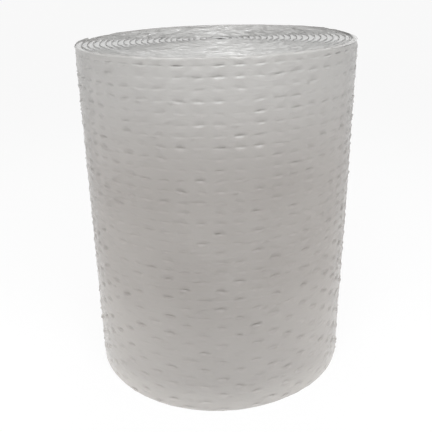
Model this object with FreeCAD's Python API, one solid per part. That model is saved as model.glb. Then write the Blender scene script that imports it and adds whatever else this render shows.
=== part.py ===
import FreeCAD, Part
import math
import os

# One roll of air bubble film, standing on its end with its axis on +Z.
# The film is wound flat side out. Its turns are one solid, with these forms on the outside:
# the outer turn, swollen a little over each bubble, the tail edge where that turn ends,
# the curled rim at both ends, and the spiral of film edges on both end faces.

# Driving dimensions, in millimetres and degrees
film_width = 500.0
roll_diameter = 404.0
turn_thickness = 8.5
eye_diameter = 26.0
eye_depth = 45.0
bubble_pitch = 28.1
bubble_swell = 2.0
rim_radius = 12.0
rim_steps = 3
edge_depth = 4.0
edge_step = 1.5
foot_width = 4.5
tail_azimuth = 165.0
fewest_turns = 2
fewest_corners = 8
join_tolerance = 0.001
place_digits = 6

# Sizes that follow from them
skin_radius = roll_diameter / 2 - bubble_swell
eye_radius = eye_diameter / 2
wound_depth = skin_radius - rim_radius - eye_radius
turns = max(fewest_turns, round(wound_depth / turn_thickness))
turn_pitch = wound_depth / turns
groove_inset = rim_radius + turn_pitch - edge_step
mean_girth = 2 * math.pi * (skin_radius - turn_pitch / 2)
columns = 2 * round(mean_girth / (bubble_pitch * math.sqrt(3)))
side_height = film_width - 2 * rim_radius
rows = round(side_height / bubble_pitch)
row_pitch = side_height / rows

# Corners of one hexagon of the bubble pattern, round its crown, in columns across and rows up.
# The halves stand where the pattern is cut off by the tail edge or by a rim.
third = 1 / 3
half = 1 / 2
upper_half = [(2 * third, 0), (third, half), (-third, half), (-2 * third, 0)]
lower_half = [(-2 * third, 0), (-third, -half), (third, -half), (2 * third, 0)]
right_half = [(0, -half), (third, -half), (2 * third, 0), (third, half), (0, half)]
left_half = [(0, half), (-third, half), (-2 * third, 0), (-third, -half), (0, -half)]
whole_cell = upper_half + lower_half[1:]


def on_film(turn, inset, height):
    """A point of the wound film. turn counts inwards from the tail, inset is measured in from the skin."""
    angle = math.radians(tail_azimuth) + 2 * math.pi * turn
    radius = skin_radius - inset - turn_pitch * turn
    return FreeCAD.Vector(radius * math.cos(angle), radius * math.sin(angle), height)


def pattern_point(column, row, swell):
    """A point of the outer turn at a place in the bubble pattern, counted in columns and rows."""
    return on_film(column / columns, -swell, rim_radius + row * row_pitch)


def cell(column, row, outline, swell):
    """The facets of one bubble: its crown joined to each corner of its part of the hexagon pattern."""
    crown = pattern_point(column, row, swell)
    corners = [pattern_point(column + across, row + up, 0.0) for across, up in outline]
    return [(crown, corner, following) for corner, following in zip(corners, corners[1:])]


def outer_turn():
    """The side of the roll, as cells of the bubble pattern. Odd columns stand half a row lower."""
    triangles = []
    for column in range(columns + 1):
        if column % 2:
            triangles += cell(column, 0, upper_half, 0.0)
            for row in range(1, rows):
                triangles += cell(column, row, whole_cell, bubble_swell)
            triangles += cell(column, rows, lower_half, 0.0)
        else:
            outline = {0: right_half, columns: left_half}.get(column, whole_cell)
            for row in range(rows):
                triangles += cell(column, row + half, outline, bubble_swell)
    return triangles


def side_marks():
    """Places round the outer turn where the bubble pattern meets a rim, counted in turns."""
    places = []
    for column in range(columns + 1):
        places += [column] if column % 2 else [column - third, column + third]
    return [0.0] + [place / columns for place in places if 0 < place < columns] + [1.0]


def turn_marks():
    """Corners of the film's wound edge, one for about each bubble of every turn, counted in turns."""
    marks = []
    for turn in range(turns):
        girth = 2 * math.pi * (skin_radius - rim_radius - turn_pitch * turn)
        corners = max(fewest_corners, round(girth / bubble_pitch))
        marks += [turn + corner / corners for corner in range(corners)]
    return marks + [turns]


def rail(marks, inset, height):
    """A line that follows the wound film at one inset and height, as pairs of mark and point."""
    return [(mark, on_film(mark, inset, height)) for mark in marks]


def stretch(line, first, last):
    """The part of a rail from one mark to another."""
    return [(mark, point) for mark, point in line if first <= mark <= last]


def beside(line, amount):
    """The same rail with its marks moved, to set it beside another turn."""
    return [(mark + amount, point) for mark, point in line]


def strip(left, right):
    """Facets between two rails, walking up both in the order of their marks."""
    triangles = []
    i = 0
    j = 0
    while i < len(left) - 1 or j < len(right) - 1:
        if j == len(right) - 1 or (i < len(left) - 1 and left[i + 1][0] <= right[j + 1][0]):
            triangles.append((left[i][1], left[i + 1][1], right[j][1]))
            i += 1
        else:
            triangles.append((left[i][1], right[j + 1][1], right[j][1]))
            j += 1
    return triangles


def strips(rails):
    """Facets between each rail of a list and the next."""
    triangles = []
    for left, right in zip(rails, rails[1:]):
        triangles += strip(left, right)
    return triangles


def turned_over(triangles):
    """The same facets facing the other way."""
    return [(a, c, b) for a, b, c in triangles]


def rim_rails(pattern_marks, edge_marks, middle_height, direction):
    """The rails of one curled rim, from the side of the roll to its end face."""
    rails = [rail(pattern_marks, 0.0, middle_height)]
    for step in range(1, rim_steps + 1):
        angle = math.pi / 2 * step / rim_steps
        inset = rim_radius * (1 - math.cos(angle))
        height = middle_height + direction * rim_radius * math.sin(angle)
        rails.append(rail(edge_marks, inset, height))
    return rails


def end_face(rails, eye_floor, pressed_flat):
    """Facets of one end: the film edge of every turn, and the eye that narrows to a point at its floor.

    Where the film edge is pressed flat, the strip between its first two rails is left open for one flat face.
    """
    groove = rails[-1]
    next_turn = beside(stretch(rails[0], 1, turns), -1)
    triangles = strips(rails[1:] if pressed_flat else rails)
    triangles += strip(stretch(groove, 0, turns - 1), next_turn)
    eye = [point for mark, point in stretch(groove, turns - 1, turns)]
    eye += [line[-1][1] for line in reversed(rails[:-1])]
    middle = FreeCAD.Vector(0, 0, eye_floor)
    for point, following in zip(eye, eye[1:] + eye[:1]):
        triangles.append((point, following, middle))
    return triangles


def outline_upwards(bottom_rim, side, top_rim, end):
    """The outline of the outer turn at its start or end, from the bottom end face up to the top one."""
    points = [line[end][1] for line in reversed(bottom_rim)]
    points += side[1:-1]
    points += [line[end][1] for line in top_rim]
    return [(point.z, point) for point in points]


def tail_face(bottom_rim, bottom_edge, top_rim, top_edge):
    """Facets of the film's cut end, from the outer turn down to the turn beneath it."""
    outer = outline_upwards(bottom_rim, tail_line(0), top_rim, 0)
    inner = outline_upwards(bottom_rim, tail_line(1), top_rim, -1)
    foot = [(0.0, line[0][1]) for line in bottom_edge[1:]]
    groove = (film_width, top_edge[-1][0][1])
    return strip([foot[0]] + outer, [foot[1]] + inner + [groove])


def tail_line(turn):
    """The points of the outer turn's face at its start or end, up over the crowns of a column of bubbles."""
    points = []
    for row in range(rows):
        points.append(pattern_point(turn * columns, row, 0.0))
        points.append(pattern_point(turn * columns, row + half, bubble_swell))
    return points + [pattern_point(turn * columns, rows, 0.0)]


def flat_foot(rails):
    """The face that the roll stands on: the pressed film edge of every turn, as one flat spiral band."""
    outline = [point for mark, point in rails[0]] + [point for mark, point in reversed(rails[1])]
    return Part.Face(Part.makePolygon(outline + outline[:1]))


def build_roll():
    marks = turn_marks()
    edge_marks = [mark for mark in marks if mark <= 1]
    top_rim = rim_rails(side_marks(), edge_marks, film_width - rim_radius, 1)
    bottom_rim = rim_rails(side_marks(), edge_marks, rim_radius, -1)
    crest = rail(marks, rim_radius, film_width)
    top_groove = rail(marks, groove_inset, film_width - edge_depth)
    foot_outside = rail(marks, rim_radius, 0.0)
    foot_inside = rail(marks, rim_radius + foot_width, 0.0)
    bottom_groove = rail(marks, groove_inset, edge_depth)
    top_edge = [crest, top_groove]
    bottom_edge = [foot_outside, foot_inside, bottom_groove]
    facets = outer_turn()
    facets += strips(top_rim)
    facets += end_face(top_edge, film_width - eye_depth, False)
    facets += turned_over(strips(bottom_rim))
    facets += turned_over(end_face(bottom_edge, eye_depth, True))
    facets += tail_face(bottom_rim, bottom_edge, top_rim, top_edge)
    return solid_from(facets, flat_foot(bottom_edge))


def solid_from(triangles, foot):
    """One closed solid from facets and a foot that meet edge to edge."""
    numbers = {}
    points = []
    corners = []
    for triangle in triangles:
        facet = []
        for point in triangle:
            place = tuple(round(value, place_digits) for value in point)
            if place not in numbers:
                numbers[place] = len(points)
                points.append(point)
            facet.append(numbers[place])
        corners.append(tuple(facet))
    skin = Part.Shape()
    skin.makeShapeFromMesh((points, corners), join_tolerance)
    closed = Part.makeCompound([skin, foot])
    closed.sewShape()
    return Part.Solid(closed.Shells[0])


def centred(shape):
    """The shape moved so that the middle of its box lies on the vertical axis and its foot on the floor."""
    box = shape.BoundBox
    moved = shape.copy()
    moved.translate(FreeCAD.Vector(-box.Center.x, -box.Center.y, -box.ZMin))
    return moved


roll = centred(build_roll())
os.makedirs("parts", exist_ok=True)
roll.exportStep("parts/bubble_film_roll.step")
print("turns", turns, "turn pitch", round(turn_pitch, 3), "columns", columns, "rows", rows)
print("valid", roll.isValid(), "faces", len(roll.Faces), "volume", round(roll.Volume), "box", roll.BoundBox)
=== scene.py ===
import math

import bpy
import numpy as np
from mathutils import Euler, Matrix, Vector, noise


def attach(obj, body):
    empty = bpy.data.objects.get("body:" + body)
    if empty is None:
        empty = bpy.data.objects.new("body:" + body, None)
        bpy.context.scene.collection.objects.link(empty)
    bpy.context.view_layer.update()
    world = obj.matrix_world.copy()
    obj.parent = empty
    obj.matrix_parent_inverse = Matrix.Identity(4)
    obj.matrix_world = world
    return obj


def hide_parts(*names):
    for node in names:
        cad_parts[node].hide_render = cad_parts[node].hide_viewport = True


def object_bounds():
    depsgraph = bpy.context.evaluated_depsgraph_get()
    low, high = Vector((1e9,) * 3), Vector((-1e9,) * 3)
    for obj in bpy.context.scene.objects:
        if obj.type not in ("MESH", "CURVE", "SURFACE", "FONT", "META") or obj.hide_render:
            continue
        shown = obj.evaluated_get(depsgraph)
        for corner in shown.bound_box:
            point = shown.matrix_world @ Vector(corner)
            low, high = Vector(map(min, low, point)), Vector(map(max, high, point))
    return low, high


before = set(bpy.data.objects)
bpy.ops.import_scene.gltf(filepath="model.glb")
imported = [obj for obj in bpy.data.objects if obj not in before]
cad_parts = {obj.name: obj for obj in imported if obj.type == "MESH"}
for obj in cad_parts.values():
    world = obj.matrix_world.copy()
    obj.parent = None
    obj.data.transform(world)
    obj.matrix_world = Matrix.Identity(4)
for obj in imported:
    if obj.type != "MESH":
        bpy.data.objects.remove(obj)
cad_low, cad_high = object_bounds()
scene = bpy.context.scene
bpy.ops.object.select_all(action="DESELECT")

# The outer turn
# Clear polyethylene film, the flat layer of the air bubble film, wound with this side out.
# It is made flat, X along its length from the tail, Y across its width and Z outwards, in cells
# of its hexagon pattern, then curled in at both edges and wound on the roll's spiral.
FILM_HEIGHT = cad_high.z - cad_low.z
OUTER_RADIUS = (cad_high.x - cad_low.x) / 2 + 0.0011
AXIS = Vector((0.00208, 0.00208, 0.0))
TURN_PITCH = 0.00833
TURNS = 22.3
TAIL_ANGLE = math.radians(165.0)
BUBBLE_PITCH = 0.0281
COLUMN_PITCH = BUBBLE_PITCH * math.sqrt(3) / 2
RIM_RADIUS = 0.012
RIM_SPARE = 0.0048
POINTS_PER_TURN = 120
SLANT = 0.014
MERGE_DISTANCE = 0.0001
EDGE_LEAN = 6.0
LEAN_CHANGE = 9.0
LEAN_LENGTH = 0.07
PUSHED_LEAN = 66.0
FALLEN_LEAN = -20.0
TAIL_STRAIGHT = 0.04
TAIL_CHANGE = 0.3
BUBBLE_SQUASH = 0.6


def select_only(piece):
    """Makes a piece the one selected and active object."""
    bpy.ops.object.select_all(action="DESELECT")
    piece.select_set(True)
    bpy.context.view_layer.objects.active = piece


def turns_at(lengths):
    """How many turns of the spiral each length of film takes, from the tail inwards."""
    girth = 2 * math.pi * OUTER_RADIUS
    return (girth - np.sqrt(girth * girth - 4 * math.pi * TURN_PITCH * lengths)) / (2 * math.pi * TURN_PITCH)


def length_at(turn):
    """How many metres of film lie in that many outer turns."""
    return 2 * math.pi * (OUTER_RADIUS * turn - TURN_PITCH * turn * turn / 2)


def points_of(piece):
    """The corner points of a mesh as rows of x, y and z."""
    found = np.empty(len(piece.data.vertices) * 3)
    piece.data.vertices.foreach_get("co", found)
    return found.reshape(-1, 3)


def move_points(piece, points):
    """Puts the corner points of a mesh where the rows of x, y and z say."""
    piece.data.vertices.foreach_set("co", points.ravel())
    piece.data.update()


def ring_cell(name, sides, rings):
    """One cell of a film layer: rings from its border to its crown, as pairs of radius and height."""
    bpy.ops.mesh.primitive_circle_add(vertices=sides, radius=rings[0][0], fill_type="NOTHING")
    cell = bpy.context.object
    cell.name = name
    cell.data.name = name
    bpy.ops.object.mode_set(mode="EDIT")
    bpy.ops.mesh.select_all(action="SELECT")
    bpy.ops.transform.translate(value=(0.0, 0.0, rings[0][1]))
    for (radius, height), (next_radius, next_height) in zip(rings, rings[1:]):
        bpy.ops.mesh.extrude_edges_move()
        bpy.ops.transform.resize(value=(next_radius / radius, next_radius / radius, 1.0))
        bpy.ops.transform.translate(value=(0.0, 0.0, next_height - height))
    bpy.ops.mesh.edge_face_add()
    bpy.ops.mesh.poke()
    bpy.ops.mesh.select_all(action="SELECT")
    bpy.ops.mesh.normals_make_consistent(inside=False)
    bpy.ops.object.mode_set(mode="OBJECT")
    return cell


def repeat(piece, axis, count, step, merge):
    """Copies a cell in a row along one axis."""
    row = piece.modifiers.new("repeat", "ARRAY")
    row.count = count
    row.use_relative_offset = False
    row.use_constant_offset = True
    row.constant_offset_displace = [step if index == axis else 0.0 for index in range(3)]
    row.use_merge_vertices = merge
    row.merge_threshold = MERGE_DISTANCE
    select_only(piece)
    bpy.ops.object.modifier_apply(modifier="repeat")


def cut(piece, point, normal):
    """Cuts off what lies beyond a plane."""
    select_only(piece)
    bpy.ops.object.mode_set(mode="EDIT")
    bpy.ops.mesh.select_all(action="SELECT")
    bpy.ops.mesh.bisect(plane_co=point, plane_no=normal, clear_outer=True)
    bpy.ops.object.mode_set(mode="OBJECT")


def flat_film(cell, name, length, low, high, merge):
    """A flat length of one film layer between two heights, from copies of its cell."""
    first_row = math.floor(low / BUBBLE_PITCH) - 1
    last_row = math.ceil(high / BUBBLE_PITCH) + 1
    columns = []
    for across, up in ((0.0, 0.0), (COLUMN_PITCH, BUBBLE_PITCH / 2)):
        column = cell.copy()
        column.data = cell.data.copy()
        scene.collection.objects.link(column)
        column.data.transform(Matrix.Translation((across, first_row * BUBBLE_PITCH + up, 0.0)))
        repeat(column, 1, last_row - first_row, BUBBLE_PITCH, merge)
        columns.append(column)
    for column in columns:
        column.select_set(True)
    film = columns[0]
    bpy.context.view_layer.objects.active = film
    bpy.ops.object.join()
    repeat(film, 0, math.ceil(length / (2 * COLUMN_PITCH)) + 1, 2 * COLUMN_PITCH, merge)
    if merge:
        bpy.ops.object.mode_set(mode="EDIT")
        bpy.ops.mesh.select_all(action="SELECT")
        bpy.ops.mesh.remove_doubles(threshold=MERGE_DISTANCE)
        bpy.ops.object.mode_set(mode="OBJECT")
    cut(film, (0.0, high, 0.0), (0.0, 1.0, 0.0))
    cut(film, (0.0, low, 0.0), (0.0, -1.0, 0.0))
    cut(film, (0.0, 0.0, 0.0), (-1.0, 0.0, 0.0))
    cut(film, (length, 0.0, 0.0), (1.0, 0.0, 0.0))
    film.name = name
    film.data.name = name
    return film


def noise_at(points, size, seed):
    """Soft noise at each point, as rows of three values from about -1 to 1."""
    noise.seed_set(seed)
    shift = Vector((seed * 3.1, seed * 1.7, seed * 0.9))
    return np.array([noise.noise_vector(Vector(row) / size + shift) for row in points])


def crumple(piece, size, depths, seed):
    """Moves the points of a film a little each way, by soft noise of that size and depths in metres."""
    points = points_of(piece)
    move_points(piece, points + noise_at(points, size, seed) * np.array(depths))


def curl(piece, start):
    """Bends both edges of a flat film. start is the length of film outside the piece, in metres.

    All edges lean in a little and unevenly, and hardly at all beside the tail. At the top, the outermost
    are pushed over at the right of the roll, and those further in fall outwards a little at the back.
    """
    points = points_of(piece)
    lengths = np.clip(points[:, 0] + start, 0.0, length_at(TURNS + 0.2))
    turn = turns_at(lengths)
    around = TAIL_ANGLE + 2 * math.pi * turn
    outermost = np.clip(2.0 - turn, 0.0, 1.0)
    pushed = PUSHED_LEAN * np.clip(np.cos(around), 0.0, 1.0) ** 4 * outermost
    fallen = FALLEN_LEAN * np.clip(np.sin(around), 0.0, 1.0) * np.clip(turn - 0.9, 0.0, 1.0)
    for upward in (1.0, -1.0):
        edge = FILM_HEIGHT if upward > 0 else 0.0
        places = np.stack([lengths, lengths * 0 + upward, lengths * 0], axis=1)
        unevenness = noise_at(places, LEAN_LENGTH, 7)[:, 0]
        lean = EDGE_LEAN + LEAN_CHANGE * unevenness + (pushed + fallen if upward > 0 else 0.0)
        lean = np.radians(lean * np.clip((lengths - TAIL_STRAIGHT) / TAIL_CHANGE, 0.1, 1.0))
        side = np.sign(lean)
        lean = np.abs(lean)
        past = (points[:, 1] - edge) * upward + RIM_RADIUS
        curled = past > 0
        straight_part = RIM_RADIUS * (1 - np.sin(lean))
        along = past / (RIM_RADIUS + RIM_SPARE) * (straight_part + RIM_RADIUS * lean)
        angle = np.clip((along - straight_part) / RIM_RADIUS, 0.0, None)
        straight = np.minimum(along, straight_part)
        depth = points[:, 2] * (1 - BUBBLE_SQUASH * np.sin(np.clip(angle, 0.0, math.pi / 2)) ** 2)
        height = straight + (RIM_RADIUS + side * depth) * np.sin(angle)
        inset = side * RIM_RADIUS * (1 - np.cos(angle)) - depth * np.cos(angle)
        points[curled, 1] = (edge + upward * (height - RIM_RADIUS))[curled]
        points[curled, 2] = -inset[curled]
    move_points(piece, points)


def wind(piece, first_turn, last_turn):
    """Stands a flat film on its edge and winds it on the roll's spiral.

    Its turns have slipped a little to the right from the foot up. What would pass the floor is pressed flat.
    """
    select_only(piece)
    bpy.ops.object.mode_set(mode="EDIT")
    bpy.ops.mesh.select_all(action="SELECT")
    bpy.ops.transform.rotate(value=-math.pi / 2, orient_axis="X", center_override=(0.0, 0.0, 0.0))
    bpy.ops.object.mode_set(mode="OBJECT")
    curve = bpy.data.curves.new("winding_line", "CURVE")
    curve.dimensions = "2D"
    line = curve.splines.new("POLY")
    count = math.ceil((last_turn - first_turn) * POINTS_PER_TURN)
    line.points.add(count)
    for index, point in enumerate(line.points):
        turn = first_turn + (last_turn - first_turn) * index / count
        angle = TAIL_ANGLE + 2 * math.pi * turn
        radius = OUTER_RADIUS - TURN_PITCH * turn
        point.co = (AXIS.x + radius * math.cos(angle), AXIS.y + radius * math.sin(angle), 0.0, 1.0)
    path = bpy.data.objects.new("winding_line", curve)
    scene.collection.objects.link(path)
    bend = piece.modifiers.new("wind", "CURVE")
    bend.object = path
    bend.deform_axis = "POS_X"
    bpy.ops.object.modifier_apply(modifier="wind")
    bpy.data.objects.remove(path)
    points = points_of(piece)
    points[:, 0] += SLANT * (points[:, 2] - FILM_HEIGHT / 2)
    points[:, 2] = np.maximum(points[:, 2], 0.0)
    move_points(piece, points)
    bpy.ops.object.shade_smooth()


def film_surface():
    """A node group for what all the film shares: crinkles, patches of haze where it has rubbed, and masks for
    the top rim and the foot, where the film's colour is painted lighter as painted light from above and from
    the floor.
    """
    group = bpy.data.node_groups.new("film_surface", "ShaderNodeTree")
    group.interface.new_socket("Crinkle Depth", in_out="INPUT", socket_type="NodeSocketFloat")
    group.interface.new_socket("Clear Roughness", in_out="INPUT", socket_type="NodeSocketFloat")
    group.interface.new_socket("Haze Roughness", in_out="INPUT", socket_type="NodeSocketFloat")
    group.interface.new_socket("Normal", in_out="OUTPUT", socket_type="NodeSocketVector")
    group.interface.new_socket("Roughness", in_out="OUTPUT", socket_type="NodeSocketFloat")
    group.interface.new_socket("Haze", in_out="OUTPUT", socket_type="NodeSocketFloat")
    group.interface.new_socket("Top Rim", in_out="OUTPUT", socket_type="NodeSocketFloat")
    group.interface.new_socket("Foot", in_out="OUTPUT", socket_type="NodeSocketFloat")
    nodes = group.nodes
    links = group.links
    values = nodes.new("NodeGroupInput")
    result = nodes.new("NodeGroupOutput")
    place = nodes.new("ShaderNodeTexCoord")
    stretch = nodes.new("ShaderNodeMapping")
    stretch.inputs["Scale"].default_value = (1.0, 1.0, 3.2)
    fine = nodes.new("ShaderNodeTexNoise")
    fine.inputs["Scale"].default_value = 65.0
    fine.inputs["Detail"].default_value = 3.0
    fine.inputs["Distortion"].default_value = 0.6
    bump = nodes.new("ShaderNodeBump")
    bump.inputs["Distance"].default_value = 0.002
    wide = nodes.new("ShaderNodeTexNoise")
    wide.inputs["Scale"].default_value = 14.0
    wide.inputs["Detail"].default_value = 1.0
    height = nodes.new("ShaderNodeSeparateXYZ")
    # Top Rim rises from 0 at 18 cm below the top to 1 at the top. It lightens the colour there as painted
    # light from above, and sets the film's alpha at the rim.
    rim = nodes.new("ShaderNodeMapRange")
    rim.interpolation_type = "SMOOTHSTEP"
    rim.inputs["From Min"].default_value = FILM_HEIGHT - 0.18
    rim.inputs["From Max"].default_value = FILM_HEIGHT - 0.005
    links.new(place.outputs["Object"], height.inputs["Vector"])
    links.new(height.outputs["Z"], rim.inputs["Value"])
    links.new(rim.outputs["Result"], result.inputs["Top Rim"])
    # Foot falls from 1 at the floor to 0 at 20 cm up. It lightens the colour there as painted light from the
    # floor, and makes the film opaque at the foot.
    foot = nodes.new("ShaderNodeMapRange")
    foot.inputs["From Min"].default_value = 0.2
    foot.inputs["From Max"].default_value = 0.0
    links.new(height.outputs["Z"], foot.inputs["Value"])
    links.new(foot.outputs["Result"], result.inputs["Foot"])
    haze = nodes.new("ShaderNodeMapRange")
    haze.interpolation_type = "SMOOTHSTEP"
    haze.inputs["From Min"].default_value = 0.2
    haze.inputs["From Max"].default_value = 0.8
    rough = nodes.new("ShaderNodeMix")
    links.new(place.outputs["Object"], stretch.inputs["Vector"])
    links.new(stretch.outputs["Vector"], fine.inputs["Vector"])
    links.new(fine.outputs["Fac"], bump.inputs["Height"])
    links.new(values.outputs["Crinkle Depth"], bump.inputs["Strength"])
    links.new(bump.outputs["Normal"], result.inputs["Normal"])
    links.new(place.outputs["Object"], wide.inputs["Vector"])
    links.new(wide.outputs["Fac"], haze.inputs["Value"])
    links.new(haze.outputs["Result"], result.inputs["Haze"])
    links.new(haze.outputs["Result"], rough.inputs["Factor"])
    links.new(values.outputs["Clear Roughness"], rough.inputs["A"])
    links.new(values.outputs["Haze Roughness"], rough.inputs["B"])
    links.new(rough.outputs["Result"], result.inputs["Roughness"])
    return group


film_surface_group = film_surface()
HAZE_ROUGHNESS = 0.08
EDGE_ON_BLEND = 0.35


def film_material(name, tone, hazy_tone, top_painted_light_tone, foot_painted_light_tone,
                  roughness, clear_alpha, edge_alpha, rim_alpha, crinkle, index):
    """Film: clear where it is looked at squarely, denser where it is seen edge on, at the rim and foot. Its
    colour is painted lighter towards the top rim and the foot, as painted light from above and from the
    floor.
    """
    material = bpy.data.materials.new(name)
    material.use_nodes = True
    nodes = material.node_tree.nodes
    links = material.node_tree.links
    shader = nodes["Principled BSDF"]
    surface = nodes.new("ShaderNodeGroup")
    surface.node_tree = film_surface_group
    surface.inputs["Crinkle Depth"].default_value = crinkle
    surface.inputs["Clear Roughness"].default_value = roughness
    surface.inputs["Haze Roughness"].default_value = roughness + HAZE_ROUGHNESS
    color = nodes.new("ShaderNodeMix")
    color.data_type = "RGBA"
    color.inputs["A"].default_value = (*tone, 1.0)
    color.inputs["B"].default_value = (*hazy_tone, 1.0)
    links.new(surface.outputs["Haze"], color.inputs["Factor"])
    # Painted light: the colour turns lighter and less warm towards the top rim, standing in for light from
    # above.
    painted_top_light = nodes.new("ShaderNodeMix")
    painted_top_light.data_type = "RGBA"
    painted_top_light.inputs["B"].default_value = (*top_painted_light_tone, 1.0)
    links.new(surface.outputs["Top Rim"], painted_top_light.inputs["Factor"])
    links.new(color.outputs["Result"], painted_top_light.inputs["A"])
    # Painted light: the colour turns lighter towards the foot, standing in for light from the floor.
    low = nodes.new("ShaderNodeMix")
    low.data_type = "RGBA"
    low.inputs["B"].default_value = (*foot_painted_light_tone, 1.0)
    links.new(surface.outputs["Foot"], low.inputs["Factor"])
    links.new(painted_top_light.outputs["Result"], low.inputs["A"])
    links.new(low.outputs["Result"], shader.inputs["Base Color"])
    links.new(surface.outputs["Roughness"], shader.inputs["Roughness"])
    links.new(surface.outputs["Normal"], shader.inputs["Normal"])
    shader.inputs["IOR"].default_value = index
    edge_on = nodes.new("ShaderNodeLayerWeight")
    edge_on.inputs["Blend"].default_value = EDGE_ON_BLEND
    dense = nodes.new("ShaderNodeMapRange")
    dense.inputs["To Min"].default_value = clear_alpha
    dense.inputs["To Max"].default_value = edge_alpha
    at_rim = nodes.new("ShaderNodeMix")
    at_rim.inputs["B"].default_value = rim_alpha
    links.new(edge_on.outputs["Facing"], dense.inputs["Value"])
    links.new(surface.outputs["Top Rim"], at_rim.inputs["Factor"])
    links.new(dense.outputs["Result"], at_rim.inputs["A"])
    pressed = nodes.new("ShaderNodeMath")
    pressed.operation = "MAXIMUM"
    links.new(at_rim.outputs["Result"], pressed.inputs[0])
    links.new(surface.outputs["Foot"], pressed.inputs[1])
    links.new(pressed.outputs[0], shader.inputs["Alpha"])
    return material


DASH_ROWS = [-0.25, -0.0925, -0.046, 0.0, 0.046, 0.0925, 0.25]
CREASE_DEPTH = 0.0017
LIP_HEIGHT = 0.0012
CREASE_HEIGHT = 0.0015
CREASE_WIDTH = 0.0076
CREASE_BOW = 22.0
SWELL = 0.0003
PIMPLE = 0.0014
PIMPLE_REACH = 0.004
PIMPLE_CHANCE = 0.965
CREASE_STRENGTH = 0.85
STRENGTH_CHANGE = 1.1
CREASE_TILT = 0.35
CREASE_DRIFT = 0.0022
LIP_DROP = 0.0026
SECOND_CREASE_FROM = 0.12
SECOND_CREASE_CHANGE = 0.25
RUBBED_DEPTH = 0.0009
RUBBED_PLACE = (0.15, 0.225)
RUBBED_REACH = (0.055, 0.035)
RUBBED_GRAIN = 0.008
SMALL_CRUMPLE = 0.02
SMALL_DEPTHS = (0.0004, 0.0004, 0.0003)
WIDE_CRUMPLE = 0.12
WIDE_DEPTHS = (0.001, 0.001, 0.0008)
bpy.ops.mesh.primitive_grid_add(x_subdivisions=6, y_subdivisions=len(DASH_ROWS) - 1, size=1.0)
outer_film = bpy.context.object
outer_film.name = "outer_turn_film"
outer_film.data.name = "outer_turn_film"
points = points_of(outer_film)
rows = np.round((points[:, 1] + 0.5) * (len(DASH_ROWS) - 1)).astype(int)
points[:, 0] *= COLUMN_PITCH
points[:, 1] = np.array(DASH_ROWS)[rows] * BUBBLE_PITCH
move_points(outer_film, points)
outer_length = length_at(1.04)
repeat(outer_film, 1, math.ceil(FILM_HEIGHT / BUBBLE_PITCH * 2) + 2, BUBBLE_PITCH / 2, True)
repeat(outer_film, 0, math.ceil(outer_length / COLUMN_PITCH) + 2, COLUMN_PITCH, True)
cut(outer_film, (0.0, FILM_HEIGHT + RIM_SPARE, 0.0), (0.0, 1.0, 0.0))
cut(outer_film, (0.0, -RIM_SPARE, 0.0), (0.0, -1.0, 0.0))
cut(outer_film, (0.0, 0.0, 0.0), (-1.0, 0.0, 0.0))
cut(outer_film, (outer_length, 0.0, 0.0), (1.0, 0.0, 0.0))


def crease(piece, seed):
    """Swells the taut film over each bubble, and draws it in along short level creases with a lip below.

    A crease lies between each bubble and the next above. Higher up the roll another lies across each bubble.
    A few small pimples stand beside them, and a rubbed patch on the left is crinkled aslant.
    """
    points = points_of(piece)
    column = np.round(points[:, 0] / COLUMN_PITCH)
    across = points[:, 0] - column * COLUMN_PITCH
    row = np.round(points[:, 1] / (BUBBLE_PITCH / 2))
    between = (row + column) % 2
    own = noise_at(np.stack([column * 0.79, row * 0.83, column * 0 + seed], axis=1), 1.0, seed)
    up = points[:, 1] - row * BUBBLE_PITCH / 2 - CREASE_TILT * own[:, 1] * across - CREASE_DRIFT * own[:, 2]
    up -= CREASE_BOW * across * across
    high = np.clip((points[:, 1] - SECOND_CREASE_FROM) / SECOND_CREASE_CHANGE, 0.0, 1.0)
    strength = np.clip(CREASE_STRENGTH + STRENGTH_CHANGE * own[:, 0], 0.15, 1.4) * (1.4 - 0.5 * high)
    strength *= between + (1 - between) * high
    width = np.clip(1.0 - (np.abs(across) / CREASE_WIDTH) ** 2, 0.0, 1.0)
    swell = np.cos(2 * math.pi * points[:, 1] / BUBBLE_PITCH) * np.cos(math.pi * points[:, 0] / COLUMN_PITCH)
    fold = strength * width * np.exp(-(up / CREASE_HEIGHT) ** 2)
    lip = strength * width * np.exp(-((up + LIP_DROP) / CREASE_HEIGHT) ** 2)
    chance = np.random.default_rng(seed).uniform(-1.0, 1.0, len(points))
    points[:, 2] += SWELL * swell + LIP_HEIGHT * lip - CREASE_DEPTH * fold * (1 + 0.3 * chance)
    points[:, 2] += PIMPLE * (chance > PIMPLE_CHANCE) * (np.abs(up) < PIMPLE_REACH)
    along = (points[:, 0] - RUBBED_PLACE[0]) / RUBBED_REACH[0]
    above = (points[:, 1] - RUBBED_PLACE[1]) / RUBBED_REACH[1]
    rubbed = np.exp(-along ** 2 - above ** 2)
    rising = 0.45 * (points[:, 0] + 0.7 * points[:, 1])
    falling = points[:, 1] - 0.7 * points[:, 0]
    grain = noise_at(np.stack([rising, falling, column * 0], axis=1), RUBBED_GRAIN, seed)[:, 0]
    points[:, 2] += RUBBED_DEPTH * rubbed * grain
    move_points(piece, points)


crease(outer_film, 3)
crumple(outer_film, SMALL_CRUMPLE, SMALL_DEPTHS, 1)
crumple(outer_film, WIDE_CRUMPLE, WIDE_DEPTHS, 2)
curl(outer_film, 0.0)
wind(outer_film, 0.0, 1.1)
# Its colours at the top rim and the foot are lighter: painted light from above and from the floor.
clear_film = film_material("clear_film", tone=(0.385, 0.362, 0.341), hazy_tone=(0.41, 0.387, 0.365),
                           top_painted_light_tone=(0.448, 0.436, 0.42), foot_painted_light_tone=(0.475, 0.455, 0.435), roughness=0.16,
                           clear_alpha=0.72, edge_alpha=0.9, rim_alpha=0.85, crinkle=0.35, index=1.4)
outer_film.data.materials.append(clear_film)
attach(outer_film, "root")
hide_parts("bubble_film_roll")

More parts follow.
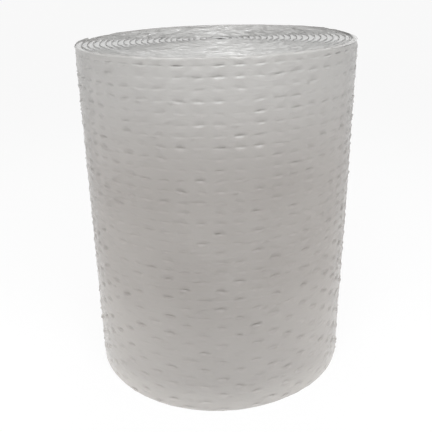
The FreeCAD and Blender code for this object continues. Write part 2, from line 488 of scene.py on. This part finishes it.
# The bubbles of the outer turn
# The second layer of the film, blown into round bubbles that hold the air. They stand inwards
# from the flat layer, seen through it, and lean on the turn beneath.
BUBBLE_RINGS = [(0.0124, -0.0014), (0.0121, -0.0038), (0.0104, -0.0065), (0.0062, -0.0079)]
FILLING = 0.86
FILLING_CHANGE = 0.28
FILLING_LENGTH = 0.03
bubble_cell = ring_cell("bubble_cell", 16, BUBBLE_RINGS)


def soften_bubbles(piece, seed):
    """Gives the bubbles different amounts of air."""
    points = points_of(piece)
    change = noise_at(points * np.array((1.0, 1.0, 0.0)), FILLING_LENGTH, seed)[:, 0]
    points[:, 2] *= np.clip(FILLING + FILLING_CHANGE * change, 0.5, 1.0)
    move_points(piece, points)


outer_bubbles = flat_film(bubble_cell, "outer_turn_bubbles", length_at(1.0), 0.0, FILM_HEIGHT, False)
soften_bubbles(outer_bubbles, 4)
crumple(outer_bubbles, SMALL_CRUMPLE, SMALL_DEPTHS, 1)
crumple(outer_bubbles, WIDE_CRUMPLE, WIDE_DEPTHS, 2)
crumple(outer_bubbles, size=0.006, depths=(0.0002, 0.0002, 0.0004), seed=5)
curl(outer_bubbles, 0.0)
wind(outer_bubbles, 0.0, 1.1)
# Its colours at the top rim and the foot are lighter: painted light from above and from the floor.
bubble_wall = film_material("bubble_wall", tone=(0.44, 0.42, 0.40), hazy_tone=(0.47, 0.45, 0.43),
                            top_painted_light_tone=(0.48, 0.47, 0.458), foot_painted_light_tone=(0.47, 0.45, 0.43), roughness=0.12,
                            clear_alpha=0.4, edge_alpha=0.9, rim_alpha=0.5, crinkle=0.2, index=1.5)
outer_bubbles.data.materials.append(bubble_wall)
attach(outer_bubbles, "root")

# The inner turns
# The turn beneath the bubbles, with its own pattern pressed through it. Seen through so many
# layers of film and air, the rest of the roll is a milky grey.
INNER_RINGS = [(0.01405, 0.0), (0.0128, -0.0004), (0.0110, 0.0002), (0.005, 0.0007)]
SECOND_TURN_GAP = 0.0006
inner_cell = ring_cell("inner_cell", 12, INNER_RINGS)
for vertex in inner_cell.data.vertices:
    at_corner = abs(math.sin(3 * math.atan2(vertex.co.y, vertex.co.x))) < 0.5
    if at_corner and vertex.co.xy.length > INNER_RINGS[0][0] - MERGE_DISTANCE:
        vertex.co.xy *= BUBBLE_PITCH / math.sqrt(3) / INNER_RINGS[0][0]

second_start = length_at(1.0)
second_turn = flat_film(inner_cell, "second_turn_film", length_at(2.05) - second_start, -RIM_SPARE,
                        FILM_HEIGHT + RIM_SPARE, True)
crumple(second_turn, size=0.02, depths=(0.0004, 0.0004, 0.0004), seed=8)
points = points_of(second_turn)
points[:, 2] -= SECOND_TURN_GAP
move_points(second_turn, points)
curl(second_turn, second_start)
wind(second_turn, 1.0, 2.1)
# Its colours at the top rim and the foot are lighter: painted light from above and from the floor.
inner_film = film_material("inner_film", tone=(0.45, 0.43, 0.41), hazy_tone=(0.47, 0.45, 0.43),
                           top_painted_light_tone=(0.48, 0.47, 0.458), foot_painted_light_tone=(0.47, 0.45, 0.43), roughness=0.25,
                           clear_alpha=1.0, edge_alpha=1.0, rim_alpha=0.9, crinkle=0.3, index=1.5)
second_turn.data.materials.append(inner_film)
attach(second_turn, "root")

# The film edges at both ends
# The cut edges of all the other turns, which stand nearly upright and are crinkled along their
# free edge. The bubbles that lie between the turns fill the gaps as low lumps just below them.
END_DEPTH = 0.0028
EDGE_STEP = 0.0042
EDGE_HEIGHT = 0.009
EDGE_ROWS = 3
LUMP_HEIGHT = 0.0012
LUMP_DEPTH = 0.0022
PACKED_FROM = 0.03
PACKED_ROWS = 4
PACKED_INSET = 0.0004
WAVE_DEPTH = 0.0004
SHAKE_SIZES = (0.016, 0.006)
SHAKE_DEPTH = 0.0022
SHAKE_HEIGHT = 0.0014
FRONT_SHAKE = 0.5
BACK_SHAKE = 1.3
LUMP_LENGTH = 0.05
packed_length = length_at(TURNS) - length_at(PACKED_FROM)
edge_start = length_at(2.0)
edge_length = length_at(TURNS) - edge_start
# Its colours at the top rim and the foot are lighter: painted light from above and from the floor.
edge_material = film_material("edge_film", tone=(0.43, 0.41, 0.39), hazy_tone=(0.45, 0.43, 0.41),
                              top_painted_light_tone=(0.51, 0.503, 0.492), foot_painted_light_tone=(0.48, 0.46, 0.44), roughness=0.1,
                              clear_alpha=0.9, edge_alpha=1.0, rim_alpha=0.9, crinkle=1.0, index=1.5)
# Its colour at the foot is lighter, painted light from the floor; at the top rim it is only a touch lighter
# and cooler, painted light from above.
packed_material = film_material("packed_film", tone=(0.43, 0.41, 0.39), hazy_tone=(0.45, 0.43, 0.41),
                                top_painted_light_tone=(0.43, 0.425, 0.416), foot_painted_light_tone=(0.45, 0.43, 0.41), roughness=0.3,
                                clear_alpha=0.9, edge_alpha=1.0, rim_alpha=0.9, crinkle=0.5, index=1.4)
edge_steps = int(edge_length / EDGE_STEP)
packed_steps = int(packed_length / EDGE_STEP)
for end, low, high in (("top", FILM_HEIGHT - END_DEPTH, FILM_HEIGHT + RIM_SPARE),
                       ("foot", -RIM_SPARE, END_DEPTH)):
    bpy.ops.mesh.primitive_grid_add(x_subdivisions=edge_steps, y_subdivisions=EDGE_ROWS, size=1.0)
    edge_film = bpy.context.object
    edge_film.name = end + "_film_edges"
    edge_film.data.name = end + "_film_edges"
    points = points_of(edge_film)
    points[:, 0] = (points[:, 0] + 0.5) * edge_length
    points[:, 1] = low + (points[:, 1] + 0.5) * (high - low)
    rim = high if end == "top" else low
    near = np.clip(1.0 - np.abs(points[:, 1] - rim) / EDGE_HEIGHT, 0.0, 1.0)
    lengths = np.clip(points[:, 0] + edge_start, 0.0, length_at(TURNS + 0.2))
    around = TAIL_ANGLE + 2 * math.pi * turns_at(lengths)
    near *= FRONT_SHAKE + BACK_SHAKE * np.clip(np.sin(around), 0.0, 1.0)
    shake = noise_at(points, SHAKE_SIZES[0], 11) + 0.5 * noise_at(points, SHAKE_SIZES[1], 14)
    wave = WAVE_DEPTH * np.cos(points[:, 0] * 2 * math.pi / COLUMN_PITCH)
    points[:, 2] += SHAKE_DEPTH * near * shake[:, 2] + wave
    points[:, 1] += SHAKE_HEIGHT * near * shake[:, 1]
    move_points(edge_film, points)
    curl(edge_film, edge_start)
    wind(edge_film, 2.0, TURNS + 0.05)
    edge_film.data.materials.append(edge_material)
    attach(edge_film, "root")

    bpy.ops.mesh.primitive_grid_add(x_subdivisions=packed_steps, y_subdivisions=PACKED_ROWS, size=1.0)
    packed = bpy.context.object
    packed.name = end + "_edge_bubbles"
    packed.data.name = end + "_edge_bubbles"
    points = points_of(packed)
    share = 0.5 - points[:, 1]
    along = (points[:, 0] + 0.5) * packed_length
    own = noise_at(np.stack([along, along * 0, along * 0], axis=1), LUMP_LENGTH, 16)
    lump = np.sin(math.pi * share) * (0.5 + 0.5 * np.cos(2 * math.pi * along / COLUMN_PITCH + 4 * own[:, 1]))
    lump *= 0.6 + 0.8 * own[:, 0]
    inwards = -1.0 if end == "top" else 1.0
    points[:, 0] = along
    points[:, 2] = -PACKED_INSET - share * (TURN_PITCH - 1.5 * PACKED_INSET)
    points[:, 1] = (FILM_HEIGHT if end == "top" else 0.0) + inwards * (LUMP_DEPTH - LUMP_HEIGHT * lump)
    move_points(packed, points)
    wind(packed, PACKED_FROM, TURNS + 0.1)
    packed.data.materials.append(packed_material)
    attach(packed, "root")

# The wound middle
# What shows between the film edges at both ends: the many turns of film below them, and the
# small open eye that the first turn was wound round.
EYE_RADIUS = 0.012
EYE_DEPTH = 0.039
EYE_FLOOR_SHARE = 0.2
MIDDLE_DEPTH = END_DEPTH + 0.002
# Its colours at the top rim and the foot are lighter: painted light from above and from the floor.
middle_film = film_material("middle_film", tone=(0.45, 0.43, 0.41), hazy_tone=(0.48, 0.46, 0.44),
                            top_painted_light_tone=(0.465, 0.458, 0.449), foot_painted_light_tone=(0.47, 0.45, 0.43), roughness=0.7,
                            clear_alpha=1.0, edge_alpha=1.0, rim_alpha=1.0, crinkle=0.3, index=1.15)
MIDDLE_RADIUS = OUTER_RADIUS - 1.7 * TURN_PITCH
for end, height, inwards in (("top", FILM_HEIGHT - MIDDLE_DEPTH, -1.0), ("foot", MIDDLE_DEPTH, 1.0)):
    centre = (AXIS.x + SLANT * (height - FILM_HEIGHT / 2), AXIS.y, height)
    bpy.ops.mesh.primitive_circle_add(vertices=96, radius=MIDDLE_RADIUS, fill_type="NOTHING", location=centre)
    middle = bpy.context.object
    middle.name = end + "_wound_middle"
    middle.data.name = end + "_wound_middle"
    bpy.ops.object.transform_apply(location=True, rotation=True, scale=True)
    bpy.ops.object.mode_set(mode="EDIT")
    bpy.ops.mesh.select_all(action="SELECT")
    share = EYE_RADIUS / MIDDLE_RADIUS
    bpy.ops.mesh.extrude_edges_move()
    bpy.ops.transform.resize(value=(share, share, 1.0), center_override=centre)
    bpy.ops.mesh.extrude_edges_move()
    bpy.ops.transform.translate(value=(0.0, 0.0, inwards * EYE_DEPTH))
    bpy.ops.transform.resize(value=(EYE_FLOOR_SHARE, EYE_FLOOR_SHARE, 1.0), center_override=centre)
    bpy.ops.mesh.edge_face_add()
    bpy.ops.mesh.select_all(action="SELECT")
    bpy.ops.mesh.normals_make_consistent(inside=False)
    bpy.ops.object.mode_set(mode="OBJECT")
    bpy.ops.object.shade_smooth_by_angle(angle=math.radians(40.0))
    middle.data.materials.append(middle_film)
    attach(middle, "root")

for cell in (bubble_cell, inner_cell):
    bpy.data.objects.remove(cell)

# The camera
# It stands in front of the roll and a little above it, and looks down on it,
# so that the side shows whole and the top end shows as a narrow band.
camera_data = bpy.data.cameras.new("camera")
camera_data.lens = 50.0
camera_data.sensor_width = 36.0
camera_data.clip_start = 0.05
camera_data.clip_end = 50.0
camera = bpy.data.objects.new("camera", camera_data)
scene.collection.objects.link(camera)
camera.location = (0.0, -0.8886, 0.5967)
LOOK_DOWN = math.radians(22.76)
LOOK_LEFT = math.radians(0.264)
LEAN = math.radians(-1.741)
aim = Euler((math.pi / 2 - LOOK_DOWN, 0.0, LOOK_LEFT)).to_matrix() @ Matrix.Rotation(LEAN, 3, "Z")
camera.rotation_euler = aim.to_euler()
scene.camera = camera

# The studio
# A white floor and backdrop, soft lamps overhead and at the sides, low lamps near the foot, and
# a room light that is stronger from above than from the horizon.
HORIZON_LIGHT = 0.15
ZENITH_LIGHT = 0.8
FLOOR_GLOW = 0.88
COOL = (0.97, 0.985, 1.0)
PALE = (0.98, 0.99, 1.0)
WARM = (1.0, 0.99, 0.98)
world = bpy.data.worlds.new("studio")
scene.world = world
world.use_nodes = True
nodes = world.node_tree.nodes
links = world.node_tree.links
background = nodes["Background"]
background.inputs["Color"].default_value = (1.0, 1.0, 1.0, 1.0)


def seen_directly(nodes, links):
    """1 for rays that see a backdrop as a picture: from the camera, or mirrored or passed on by the film."""
    path = nodes.new("ShaderNodeLightPath")
    total = path.outputs["Is Camera Ray"]
    for ray in ("Is Glossy Ray", "Is Transmission Ray"):
        step = nodes.new("ShaderNodeMath")
        step.operation = "MAXIMUM"
        links.new(total, step.inputs[0])
        links.new(path.outputs[ray], step.inputs[1])
        total = step.outputs[0]
    return total


direction = nodes.new("ShaderNodeTexCoord")
rise = nodes.new("ShaderNodeSeparateXYZ")
room = nodes.new("ShaderNodeMapRange")
room.inputs["To Min"].default_value = HORIZON_LIGHT
room.inputs["To Max"].default_value = ZENITH_LIGHT
level = nodes.new("ShaderNodeMix")
level.inputs["B"].default_value = 1.0
links.new(direction.outputs["Generated"], rise.inputs["Vector"])
links.new(rise.outputs["Z"], room.inputs["Value"])
links.new(seen_directly(nodes, links), level.inputs["Factor"])
links.new(room.outputs["Result"], level.inputs["A"])
links.new(level.outputs["Result"], background.inputs["Strength"])

bpy.ops.mesh.primitive_plane_add(size=40.0)
floor = bpy.context.object
floor.name = "floor"
floor_material = bpy.data.materials.new("floor")
floor_material.use_nodes = True
nodes = floor_material.node_tree.nodes
links = floor_material.node_tree.links
paint = nodes["Principled BSDF"]
paint.inputs["Base Color"].default_value = (0.85, 0.85, 0.85, 1.0)
paint.inputs["Roughness"].default_value = 0.9
paint.inputs["Specular IOR Level"].default_value = 0.1
glow = nodes.new("ShaderNodeEmission")
glow.inputs["Strength"].default_value = 1.0
share = nodes.new("ShaderNodeMath")
share.operation = "MULTIPLY"
share.inputs[1].default_value = FLOOR_GLOW
mixed = nodes.new("ShaderNodeMixShader")
links.new(seen_directly(nodes, links), share.inputs[0])
links.new(share.outputs[0], mixed.inputs["Fac"])
links.new(paint.outputs["BSDF"], mixed.inputs[1])
links.new(glow.outputs["Emission"], mixed.inputs[2])
links.new(mixed.outputs["Shader"], nodes["Material Output"].inputs["Surface"])
floor.data.materials.append(floor_material)


def softbox(name, place, target, width, depth, power, tint):
    """A soft lamp of that width and depth that points at a place. Gives the lamp back."""
    data = bpy.data.lights.new(name, "AREA")
    data.shape = "RECTANGLE"
    data.size = width
    data.size_y = depth
    data.energy = power
    data.color = tint
    lamp = bpy.data.objects.new(name, data)
    scene.collection.objects.link(lamp)
    lamp.location = place
    lamp.rotation_euler = (Vector(target) - Vector(place)).to_track_quat("-Z", "Y").to_euler()
    return lamp


softbox("key_lamp", (0.05, -0.8, 1.2), (0.0, -0.1, 0.4), 1.1, 0.3, 12.5, COOL)
softbox("back_lamp", (0.1, 0.9, 1.2), (0.0, 0.1, 0.45), 1.2, 0.3, 4.0, PALE)
softbox("left_lamp", (-0.95, -0.05, 0.12), (0.0, 0.0, 0.04), 0.9, 0.5, 1.1, WARM)
softbox("right_lamp", (0.95, -0.05, 0.12), (0.0, 0.0, 0.04), 0.9, 0.5, 0.75, WARM)
left_foot_lamp = softbox("left_foot_lamp", (-0.5, -0.22, 0.04), (0.0, 0.0, 0.03), 0.4, 0.08, 0.52, WARM)
left_foot_lamp.visible_glossy = False
right_foot_lamp = softbox("right_foot_lamp", (0.5, -0.22, 0.04), (0.0, 0.0, 0.03), 0.4, 0.08, 0.48, WARM)
right_foot_lamp.visible_glossy = False
softbox("foot_lamp", (0.0, -0.65, 0.05), (0.0, -0.2, 0.04), 0.8, 0.1, 0.25, WARM)

scene.view_settings.view_transform = "Standard"
